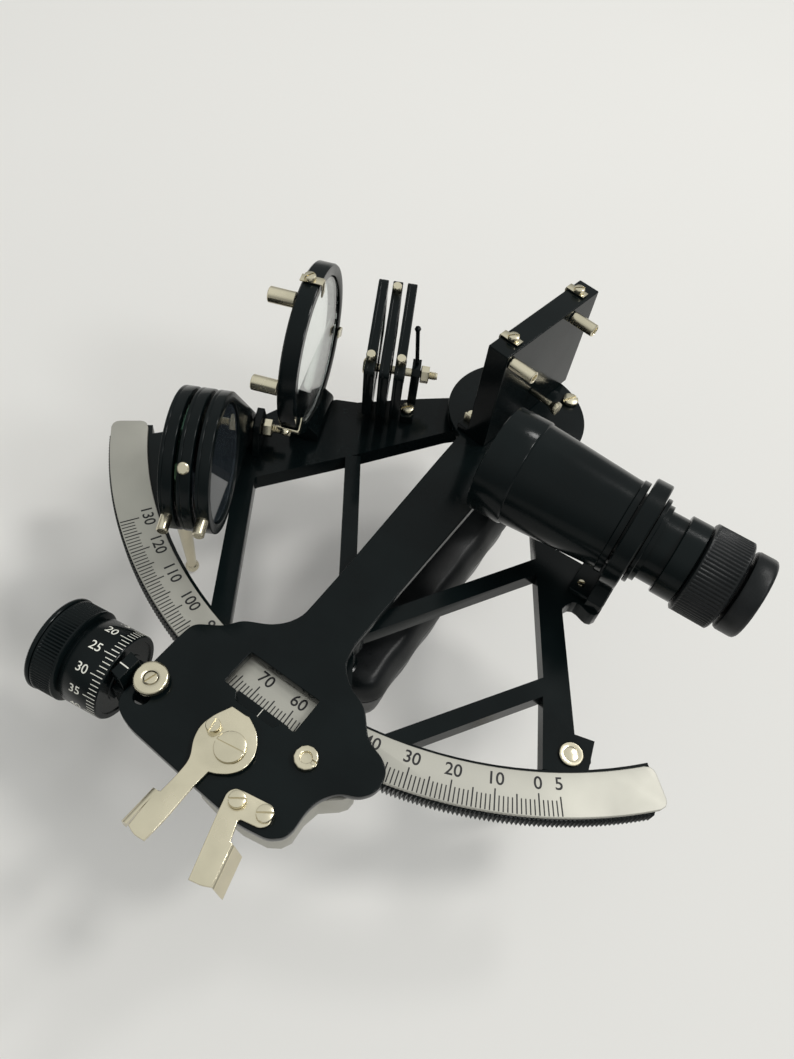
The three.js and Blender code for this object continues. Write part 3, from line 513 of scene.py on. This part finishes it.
# ---------- horizon mirror ----------
HM = SEXTANT @ move(-72.7, -49.4, 0, 20)
ON_SIGHT = Matrix.Translation((0, 0, SIGHT_Z)) @ ALONG_X
RING = HM @ ON_SIGHT
rim = [(26.2, 0), (31.3, 0), (31.9, 0.6), (31.9, 5.9), (31.5, 6.5), (28.4, 6.5), (27.8, 6.2), (27.7, 3.0),
       (26, 3.0), (26, 0.2)]
foot = moved(plate([[(-1.5, -1.8), (10.5, -1.8), (10.5, 1.6), (9.8, 3), (6.4, 5.8), (6.3, 8.0), (0.2, 8.0),
                     (-1.5, 5)]], -9, 14, 0.4),
             ALONG_NEG_Y)
foot = boolean(foot, moved(lathe([(0, -4), (27.7, -4), (27.7, 14), (0, 14)], 96), ON_SIGHT))
ring = moved(lathe(rim, 120), ON_SIGHT)
stand_for("horizon_mirror_mount", joined(foot, ring), HM, ENAMEL)
stand_for("horizon_mirror_glass", lathe([(0, 3.3), (27.2, 3.3), (27.4, 3.5), (27.4, 5.4), (27.2, 5.6),
                                         (0, 5.6)], 96), RING, GLASS)
# Silvered on the half towards the frame, which is assumed
SILVER_R = 27.1
silver = plate([[(-SILVER_R * math.cos(t * RAD), SILVER_R * math.sin(t * RAD)) for t in range(90, 271, 5)]],
               3.12, 3.22, 0.02, 1)
extra("horizon_mirror_silvering", "horizon_mirror_glass", silver, RING, SILVERED)
for name, y, z in (("upper", -7.8, 27.9), ("lower", -28.4, 5.7)):
    stand_for(f"horizon_adjuster_{name}", adjuster(2.8, 9.5),
              HM @ Matrix.Translation((-0.3, y, SIGHT_Z + z)) @ ALONG_NEG_X, NICKEL)
CLIP_R = 32.2
for side, deg in (("top", 92), ("side", -26), ("foot", -155)):
    y, z = polar(CLIP_R, deg)
    where = HM @ Matrix.Translation((1, y, z + SIGHT_Z)) @ Matrix.Rotation((deg - 90) * RAD, 4, "X")
    stand_for(f"horizon_clip_{side}", clip(5.9, 5.0), where, NICKEL)


# ---------- swing shades ----------
def shade_bolt(nut_at, length):
    parts = [lathe([(0, -2.2), (2.6, -2.2), (3.3, -1.6), (3.4, -1.2), (3.4, -0.5), (3.2, -0.3), (1.7, -0.3),
                    (1.7, nut_at - 1),
                    (0, nut_at - 1)], 40), threaded(1.7, nut_at - 1, length),
             moved(hexagon_nut(3.57, 3.4), Matrix.Translation((0, 0, nut_at)))]
    return joined(*parts)


IS = SEXTANT @ move(-58.4, -24.4, 13.6, 27)
IS_SLAB, IS_PITCH, IS_DEPTH, IS_TILT = 17.6, 5.5, 3.8, 16
stand_for("index_shade_bolt", shade_bolt(IS_SLAB + 3.8, 28.2), IS @ ALONG_X, NICKEL)
from_cad("index_shade_bracket", ENAMEL, 0.3)
stand_for("index_shade_stop_screw", slotted_head(2.6, 1.6, 0.7, 0.2, 1.2, 3),
          IS @ move(IS_SLAB + 0.6, -9.5, -1.8 - 13.6 + 3.8), NICKEL)
HOLDER = rounded([(-21.4, -1.8), (-16.5, -8.5), (11.5, -8.5), (20.5, -0.5), (20.5, 31.5), (-21.4, 31.5)],
                 2.6, 5)
for i, pin_at in enumerate((-15.3, 15, -15.3)):
    where = IS @ Matrix.Translation((0.2 + IS_PITCH * i, 0, 0)) @ Matrix.Rotation(IS_TILT * RAD, 4, "X")
    front = plate([HOLDER, rect(-16, 2.5, 15.5, 27.5, 3, 5), circle(2, n=24)], 1.1, IS_DEPTH, 0.35)
    back = plate([HOLDER, rect(-14.6, 4, 14.1, 26, 2.4, 5), circle(2, n=24)], 0, 1.4, 0.35)
    boss = plate([circle(4.6, n=36), circle(2, n=24)], -0.15 if i else 0, IS_DEPTH + 0.15, 0.15)
    holder = moved(joined(front, back, boss), X_PRISM)
    stand_for(f"index_shade_{i + 1}", holder, where, ENAMEL)
    pin = lathe([(0, 31), (1.8, 31), (1.8, 34.6), (1.5, 35.1), (0, 35.1)], 32)
    extra(f"index_shade_pin_{i + 1}", f"index_shade_{i + 1}", pin,
          where @ Matrix.Translation((IS_DEPTH / 2, pin_at, 0)), NICKEL)
    stand_for(f"index_filter_{i + 1}", moved(plate([rect(-15.7, 2.8, 15.2, 27.2, 2.9)], 1.5, 3.5, 0.15),
                                             X_PRISM), where, SHADES[i])

HS = SEXTANT @ move(-92.7, -80.5, 6, 27.6)
HS_R, HS_REACH, HS_DEPTH, HS_PITCH, HS_SLAB, LUG, HS_NECK, HS_LIFT = 24, 47.3, 4.4, 5.7, 16.7, 5.4, 50, 148.1
stand_for("horizon_shade_bolt", shade_bolt(HS_SLAB + 3.2, 28), HS @ ALONG_X, NICKEL)
from_cad("horizon_shade_bracket", ENAMEL, 0.4)
lean = math.degrees(math.asin((HS_R - LUG) / HS_REACH))
teardrop = (arc(HS_R, -lean, 180 + HS_NECK, 72, (0, HS_REACH)) + [(-LUG - 0.6, 13)]
            + arc(LUG, 180, 360 - lean, 16))
for i, (pin_deg, pin_len) in enumerate(((123, 6), (78, 1.2), (123, 6))):
    where = HS @ Matrix.Translation((0.2 + HS_PITCH * i, 0, 0)) @ Matrix.Rotation((HS_LIFT - 90) * RAD, 4,
            "X")
    centre = (0, HS_REACH)
    front = plate([teardrop, circle(20.4, centre, 72), circle(2, n=24)], 1.1, HS_DEPTH, 0.4)
    back = plate([teardrop, circle(19, centre, 72), circle(2, n=24)], 0, 1.3, 0.4)
    pin = lathe([(0, HS_R - 0.7), (1.9, HS_R - 0.7), (1.9, HS_R + pin_len - 0.4), (1.5, HS_R + pin_len),
                 (0, HS_R + pin_len)], 32)
    pin = moved(pin, Matrix.Translation((HS_DEPTH / 2, 0, HS_REACH)) @ Matrix.Rotation((pin_deg - 90) * RAD,
            4, "X"))
    stand_for(f"horizon_shade_{i + 1}", moved(joined(front, back), X_PRISM), where, ENAMEL)
    extra(f"horizon_shade_pin_{i + 1}", f"horizon_shade_{i + 1}", pin, where, NICKEL)
    filter_disc = lathe([(0, 1.5), (19.8, 1.5), (20, 1.7), (20, 3.4), (19.8, 3.6), (0, 3.6)], 72)
    stand_for(f"horizon_filter_{i + 1}", filter_disc, where @ Matrix.Translation((0, 0,
            HS_REACH)) @ ALONG_X, SHADES[i])

# ---------- telescope ----------
SCOPE = SEXTANT @ Matrix.Translation((0, -51, SIGHT_Z)) @ ALONG_X
tube = [(17.8, 12.3), (18.2, 12), (19.2, 12), (19.5, 12.3), (19.5, 23.8), (19.2, 24.3), (18.95, 24.5),
        (18.9, 25.4), (16.5, 57.8), (16.45, 59.4),
        (16.9, 59.6), (17.1, 59.8), (17.1, 61.8), (16.9, 62), (13.6, 62), (13.6, 69), (15.2, 69),
        (15.5, 69.2), (15.5, 70.3), (15.3, 70.5),
        (13.9, 70.6), (13.9, 72.2), (12.5, 72.3), (12.5, 78.2), (13.9, 78.3), (14.2, 78.6), (14.2, 85.3),
        (13.9, 85.6), (11.2, 85.6),
        (11.2, 99), (9.8, 99), (9.8, 74), (12, 72), (12, 62.5), (15, 58), (16.6, 20), (17.8, 20)]
stand_for("telescope_tube", lathe(tube, 96), SCOPE, ENAMEL)
lens = [(0, 15.4), (5, 15.6), (9, 15.95), (13, 16.6), (17.4, 17.6), (17.4, 19.7), (0, 19.7)]
stand_for("objective_lens", lathe(lens, 72), SCOPE, GLASS)


def ribbed(r, z0, z1, bore, ribs, depth=0.55):
    """A ring with rounded lengthwise ribs and plain chamfered ends."""
    bm = bmesh.new()
    count = ribs * 8
    rows = [(z0, 0.7, 0), (z0 + 0.5, 0.0, 0), (z0 + 1.0, 0.0, 0), (z0 + 1.4, 0, 1), (z1 - 1.4, 0, 1),
            (z1 - 1.0, 0, 0), (z1 - 0.5, 0, 0),
            (z1, 0.7, 0)]
    rings = []
    for z, inset, on in rows:
        groove = [on * depth * (0.5 - 0.5 * math.cos(i / 8 * 2 * math.pi)) ** 1.5 for i in range(count)]
        rings.append([bm.verts.new(polar(r - inset - groove[i], 360 * i / count, z)) for i in range(count)])
    for z in (z1, z0):
        rings.append([bm.verts.new(polar(bore, 360 * i / count, z)) for i in range(count)])
    for a, b in zip(rings, rings[1:] + rings[:1]):
        for i in range(count):
            bm.faces.new((a[i], a[(i + 1) % count], b[(i + 1) % count], b[i]))
    bmesh.ops.recalc_face_normals(bm, faces=bm.faces)
    return bm


stand_for("focus_ring", ribbed(15.8, 86, 99.3, 11.6, 72, 0.4), SCOPE, PLASTIC, 50)
cup = [(7, 80), (9.5, 80), (9.5, 100.7), (12.9, 100.7), (13.8, 101), (14.2, 101.8), (14.2, 106.6),
       (14, 107.3), (13.4, 107.8), (11.6, 107.7),
       (9.6, 106.8), (7.6, 104.6), (7, 103.6)]
stand_for("eyepiece", lathe(cup, 96), SCOPE, PLASTIC)
bracket = [(-11, -1.8), (9.5, -1.8), (9.5, 1.6), (8.8, 3.4), (6.9, 6.4), (6.1, 10), (5.9, 15), (6.6, 19),
           (9, 22), (-9, 22), (-6.6, 19), (-5.9, 15),
           (-6.1, 10), (-7, 6.4), (-9.6, 3.6), (-11, 2)]
web = moved(plate([bracket], 62.7, 68.6, 0.4), X_PRISM)
bore = lathe([(0, 60), (13.9, 60), (13.9, 70), (0, 70)], 72)
web = boolean(web, moved(bore, ON_SIGHT))
collar = moved(lathe([(13.9, 62.9), (14.1, 62.7), (19.2, 62.7), (19.6, 63.1), (19.6, 68.2), (19.2, 68.6),
                      (14.1, 68.6), (13.9, 68.4)], 96),
               ON_SIGHT)
bracket_foot = plate([rect(55, -9.5, 69, 9.5, 1.5)], -1.8, 1, 0.35)
SCOPE_FOOT = SEXTANT @ Matrix.Translation((0, -51, 0))
stand_for("telescope_bracket", joined(web, bracket_foot, collar), SCOPE_FOOT, ENAMEL)
extra("bracket_screw", "telescope_bracket", slotted_head(1.4, 1.1, 0.4, 0.1, 0.8, 1.0, 30),
      SCOPE_FOOT @ move(58.2, -5.4, 1),
      NICKEL)

# ---------- index arm ----------
# Outlines in the arm's own axes
ARM_CONTOUR = [(-11.9, -30), (-11.7, -42.7), (-9.9, -107.2), (-9.8, -128.1), (-12, -133.2), (-16, -137.4),
               (-24.4, -141.8),
               (-27.5, -146.8), (-36, -152.4), (-36.5, -158.3), (-36.5, -183.8), (-34.8, -186.6),
               (-31.9, -188.3),
               (-26.7, -189.7), (-5.1, -191), (10.5, -191.8), (17.6, -192), (27, -190.2), (30.4, -187.2),
               (31.3, -184.3),
               (30.9, -177.5), (32, -172.6), (35.3, -168), (41, -165.4), (43.6, -162), (44.3, -158.5),
               (43, -154.3),
               (39.5, -151.7), (33.1, -150.1), (25.8, -141.8), (19, -139.6), (14.7, -136.6), (11.6, -132.5),
               (10.5, -127),
               (10.5, -112.9), (11.5, -56), (11.9, -30)]
ARM_WINDOW = [(-14.5, -148.8), (-14.5, -161.4), (-9.5, -161.5), (-7.5, -164.2), (7, -164.2), (8.5, -161.5),
              (13.3, -161.4), (13.3, -148.8)]
CAP_SLOT = arc(2.6, 11, 191, 12, (-32, -175)) + arc(2.6, 191, 371, 12, (-31, -180.5))
LEVER_PIVOT, DISC_SCREW_AT, REST_SCREWS_AT = (1.8, -177.1), (14.4, 20.4), ((13.5, -187.3), (22.4, -185.7))
disc_part = arc(28.5, -65.1, 245.1, 120)
arm_loops = [disc_part + rounded(ARM_CONTOUR, 6, 5, skip=(0, len(ARM_CONTOUR) - 1)),
             rounded(ARM_WINDOW, 0.6), CAP_SLOT,
             circle(4.3), circle(2.9, LEVER_PIVOT, 32)]
arm_loops += [circle(1.5, at, 20) for at in (DISC_SCREW_AT, (21.5, -165.9), *REST_SCREWS_AT)]
pin = moved(lathe([(0, -11.5), (1.3, -11.5), (1.6, -11.2), (1.6, 2.4), (0, 2.4)], 32), move(34, -164.8))
stand_for("index_arm", joined(plate(arm_loops, 1.4, 5, 0.35, 3), pin), ARM, ENAMEL)
from_cad("pivot_shaft", STEEL, 0.3)
stand_for("disc_screw", slotted_head(3.3, 1.6, 0.8, 0.1, 1.2, 4, 60), ARM @ move(*DISC_SCREW_AT, 5.3),
          NICKEL)
from_cad("index_pointer_plate", ENAMEL, 0.15)
extra("pointer_line", "index_pointer_plate", block(-0.13, 0.13, -163.5, -160.3, 1.09, 1.13), ARM, PAINT)
from_cad("ring_nut", NICKEL, 0.2)
REST = [(9.9, -186.3), (11, -184.8), (13.1, -184.2), (22.8, -182.4), (24.6, -184.1), (25.3, -187.4),
        (23.6, -189.5),
        (17.7, -190.8), (17.4, -191.5), (19.4, -196.9), (20.4, -197), (23.3, -208.8), (20.8, -210.1),
        (16.9, -211), (11.3, -193.3), (9.7, -187.8)]
rest_plate = plate([rounded(REST, 1.6, 4, skip=(9, 10, 11, 13)),
                    *[circle(1.5, at, 20) for at in REST_SCREWS_AT]],
                   5.3, 6.6, 0.25)


def bent_edge(top, bottom, radius, thick, drop, splay):
    """A strip curving down from the edge that runs from top to bottom, then falling with a sideways splay."""
    (x0, y0), (x1, y1) = top, bottom
    outside, inside = [], []
    for k in range(7):
        a = k / 6 * math.pi / 2
        outside.append((radius * math.sin(a), -radius * (1 - math.cos(a))))
        inside.append(((radius - thick) * math.sin(a), -radius + (radius - thick) * math.cos(a)))
    outside.append((radius + splay, -drop))
    inside.append((radius + splay - thick, -drop))
    section = outside + inside[::-1]
    bm = bmesh.new()
    ends = [[bm.verts.new((x + u, y, 6.6 + w)) for u, w in section] for x, y in (top, bottom)]
    n = len(section)
    for i in range(n):
        bm.faces.new((ends[0][i], ends[0][(i + 1) % n], ends[1][(i + 1) % n], ends[1][i]))
    for end in ends:
        bm.faces.new(end)
    bmesh.ops.recalc_face_normals(bm, faces=bm.faces)
    return bm


rest_edge = bent_edge((19.2, -197.1), (22.3, -208.8), 2.2, 1.2, 7.6, 1.9)
stand_for("finger_rest", joined(rest_plate, rest_edge), ARM, NICKEL, 50)
for side, at in zip(("left", "right"), REST_SCREWS_AT):
    stand_for(f"finger_rest_screw_{side}", slotted_head(2.6, 1.6, 0.6, 0.2, 1.2, 4.6, 35),
              ARM @ move(*at, 6.9), NICKEL)
stand_for("lever_pivot_screw", slotted_head(4.9, 1.0, 0.9, 0.1, 2.6, 5.2, 10),
          ARM @ move(*LEVER_PIVOT, 7.5), NICKEL)
LEVER = [(-1, -166.7), (-6.3, -166.9), (-8.9, -172.3), (-9.9, -176.9), (-8.8, -181.3), (-5.3, -186.5),
         (-5.1, -191.6),
         (-5.5, -198.2), (-6.6, -198.7), (-5.9, -210.3), (-3, -211.2), (0.5, -210.7), (1.1, -203.7),
         (1, -192.2),
         (1.5, -186.1), (3.4, -185.4), (6.8, -183.2), (9.3, -179.7), (9.5, -175.4), (7.9, -171.8),
         (4.9, -168.6), (0, -166.4)]
lever_plate = plate([rounded(LEVER, 3.5, 5, skip=(1, 7, 8, 9, 11, 13, 14)), circle(2.9, LEVER_PIVOT, 32)],
                    5.9, 7.2, 0.25)
lever_edge = moved(bent_edge((6.2, -198.6), (6.6, -210.4), 2.2, 1.2, 7.2, 0.6),
                   Matrix.Translation((0, 0, 0.6)) @ Matrix.Diagonal((-1, 1, 1, 1)))
bmesh.ops.recalc_face_normals(lever_edge, faces=lever_edge.faces)
stud = lathe([(0, 6), (2.2, 6), (2.3, 6.2), (2.3, 9.3), (2.1, 9.7), (0, 9.8)], 36)
stud = moved(boolean(stud, block(-3, 3, -0.35, 0.35, 9, 11)), move(-6.2, -175.3, 0, 100))
stand_for("release_lever", joined(lever_plate, lever_edge, stud), ARM, NICKEL, 50)

# ---------- index mirror ----------
IM = ARM @ move(-1.1, -25.4, 0, 81.5)
from_cad("index_mirror_frame", ENAMEL, 0.4)
from_cad("index_mirror_glass", SILVERED, 0.3)
for name, x, z in (("near", 3.3, 48.2), ("far", 41, 48.2)):
    stand_for(f"index_adjuster_{name}", adjuster(2.4, 10), IM @ Matrix.Translation((x, -0.3,
            z)) @ ALONG_NEG_Y, NICKEL)
from_cad("index_adjuster_foot", NICKEL, 0.15)
for name, x in (("near", 8.5), ("far", 49)):
    stand_for(f"index_clip_{name}", clip(5.9, 4.0), IM @ move(x, 3, 52.6, 90), NICKEL)
from_cad("index_clip_foot", NICKEL, 0.15)

# ---------- worm carriage, worm and drum ----------
split_at, split_normal = ARM @ Vector((-24, -175, 0)), (ARM.to_3x3() @ Vector((1, 0, 0)))
from_cad("worm_carriage", SCALE_METAL, 0.3, keep=(split_at, -split_normal))
from_cad("worm_carriage", ENAMEL, 0.3, keep=(split_at, split_normal), name="reference_block")
extra("reference_mark", "worm_carriage", block(-42.1, -38.6, -177.55, -177.15, 9.59, 9.63), ARM, PAINT)
CAP = ARM @ move(-32, -175)
cap_ring = lathe([(2.3, 6), (5.3, 6), (5.6, 6.3), (5.6, 7.6), (5.3, 8.1), (4.8, 8.3), (2.9, 8.3),
                  (2.6, 8.1), (2.3, 7.9)], 56)
stand_for("carriage_cap", joined(cap_ring, moved(slotted_head(2.15, 1.2, 0.6, 0.1, 1.0, 0.5, 75),
                                                 move(0, 0, 6.6))), CAP, NICKEL)
WORM_R, WORM_DEG, WORM_Z, DRUM_R = 168.4, 8.5, -5.1, 14.7
WORM = ARM @ move(WORM_R * math.sin(WORM_DEG * RAD), -WORM_R * math.cos(WORM_DEG * RAD), WORM_Z, WORM_DEG)
DRUM = WORM @ ALONG_X
from_cad("worm_shaft", STEEL, 0.1, 50)
DRUM_EDGE = -69.9
drum = lathe([(2.3, -84.9), (13.3, -84.9), (13.6, -84.5), (13.6, -83.6), (14.3, -83.3), (DRUM_R, -82.9),
              (DRUM_R, DRUM_EDGE), (14.4, -69.4), (12.8, -69.4),
              (12.6, -69.8), (8.2, -69.8), (8.0, -69.4), (2.3, -69.4)], 120)
knob = ribbed(15.9, -94.0, -84.9, 2.3, 90, 0.5)
rim_disc = lathe([(2.3, -95.8), (15.2, -95.8), (15.9, -95.5), (16.2, -95.0), (16.2, -94.4), (15.9, -94.0),
                  (2.3, -94.0)], 120)
stand_for("micrometer_drum", joined(drum, knob, rim_disc), DRUM, ENAMEL, 45)


def on_drum(bm, a, deg):
    """Wraps flat work (x around the drum, y along the shaft) onto the drum."""
    for v in bm.verts:
        turn = deg * RAD + v.co.x / DRUM_R
        r = DRUM_R + 0.02 + v.co.z
        v.co = Vector((a + v.co.y, r * math.cos(turn), r * math.sin(turn)))
    return bm


DRUM_READING, MARK_DEG, MINUTES = 25, 90, 60
LONG_MARK, SHORT_MARK, DRUM_NUMERAL, DRUM_NUMERAL_AT = 4.4, 2.9, 4.2, -77.6
marks = []
for k in range(MINUTES):
    deg = MARK_DEG + (k - DRUM_READING) * 360 / MINUTES
    length = LONG_MARK if k % 5 == 0 else SHORT_MARK
    marks.append(on_drum(block(-0.13, 0.13, -length, 0, -0.015, 0.015), DRUM_EDGE, deg))
    if k % 5 == 0:
        digits = moved(lettering(str(k), DRUM_NUMERAL, 0.003), Matrix.Rotation(math.pi / 2, 4, "Z"))
        marks.append(on_drum(digits, DRUM_NUMERAL_AT, deg))
washer = lathe([(2.4, -69.3), (5.2, -69.3), (5.3, -69.2), (5.3, -68.8), (5.2, -68.7), (2.4, -68.7)], 40)
extra("drum_washer", "micrometer_drum", washer, DRUM, COPPER)
extra("drum_graduations", "micrometer_drum", joined(*marks), WORM, PAINT)

# ---------- floor, light and camera ----------
FLOOR_HALF, FLOOR_TOP = 3000, -0.01
floor = to_object("floor", plate([rect(-FLOOR_HALF, -FLOOR_HALF, FLOOR_HALF, FLOOR_HALF, 10)], -2,
                                 FLOOR_TOP, 0.5), Matrix.Identity(4),
                  detail(new_material("floor", (0.63, 0.62, 0.6), 0.6, 0.0,
                                      **{"Emission Color": (1.0, 0.985, 0.95, 1),
                                                                     "Emission Strength": 0.16}), 3,
                         (0.55, 0.7), 0.01, 40))


LIT_POINT = Vector((0, 0, 0.05))


def area_light(name, at, size, power, color):
    light = bpy.data.lights.new(name, "AREA")
    light.shape, light.size, light.energy, light.color = "DISK", size, power, color
    obj = bpy.data.objects.new(name, light)
    obj.location = at
    obj.rotation_euler = (LIT_POINT - Vector(at)).to_track_quat("-Z", "Y").to_euler()
    bpy.context.scene.collection.objects.link(obj)


area_light("key", (0.8, 0.55, 1.5), 0.3, 8, (1.0, 0.99, 0.96))
area_light("second", (0.35, 1.0, 1.3), 0.25, 4, (1.0, 0.99, 0.97))
area_light("third", (1.2, -0.1, 1.2), 0.3, 3, (0.97, 0.99, 1.0))
world = bpy.data.worlds.new("studio")
world.use_nodes = True
sky = world.node_tree
direction, axes, ramp = (sky.nodes.new(f"ShaderNode{kind}") for kind in ("TexCoord", "SeparateXYZ",
        "ValToRGB"))
# (height, brightness) steps from the horizon to straight overhead
SKY = ((0.0, 0.34), (0.3, 0.5), (0.75, 0.98), (1.0, 1.0))
SKY_COLOR, SKY_STRENGTH = (0.93, 0.95, 0.93), 0.86
while len(ramp.color_ramp.elements) < len(SKY):
    ramp.color_ramp.elements.new(0.5)
for element, (height, level) in zip(ramp.color_ramp.elements, SKY):
    element.position = height
    element.color = (*(c * level for c in SKY_COLOR), 1)
sky.links.new(direction.outputs["Generated"], axes.inputs["Vector"])
sky.links.new(axes.outputs["Z"], ramp.inputs["Fac"])
sky.links.new(ramp.outputs["Color"], sky.nodes["Background"].inputs["Color"])
sky.nodes["Background"].inputs["Strength"].default_value = SKY_STRENGTH
bpy.context.scene.world = world

# Camera in SEXTANT axes: its place, and its right, down and forward directions
CAMERA_AT = Vector((64.60, -232.09, 241.92))
CAMERA_AXES = ((0.83161, 0.54635, 0.09960), (0.49741, -0.65300, -0.57111), (-0.24699, 0.52449, -0.81481))
FOCAL_MM, SENSOR_MM = 36.27, 36
camera = bpy.data.objects.new("camera", bpy.data.cameras.new("camera"))
camera.data.sensor_fit, camera.data.sensor_width, camera.data.lens = "HORIZONTAL", SENSOR_MM, FOCAL_MM
camera.data.clip_start = 0.01
right, down, ahead = (Vector(row) for row in CAMERA_AXES)
turn = Matrix((right, -down, -ahead)).transposed().to_4x4()
camera.matrix_world = Matrix.Translation((SEXTANT @ CAMERA_AT) * MM) @ turn
bpy.context.scene.collection.objects.link(camera)
bpy.context.scene.camera = camera
bpy.context.scene.view_settings.view_transform = "Standard"
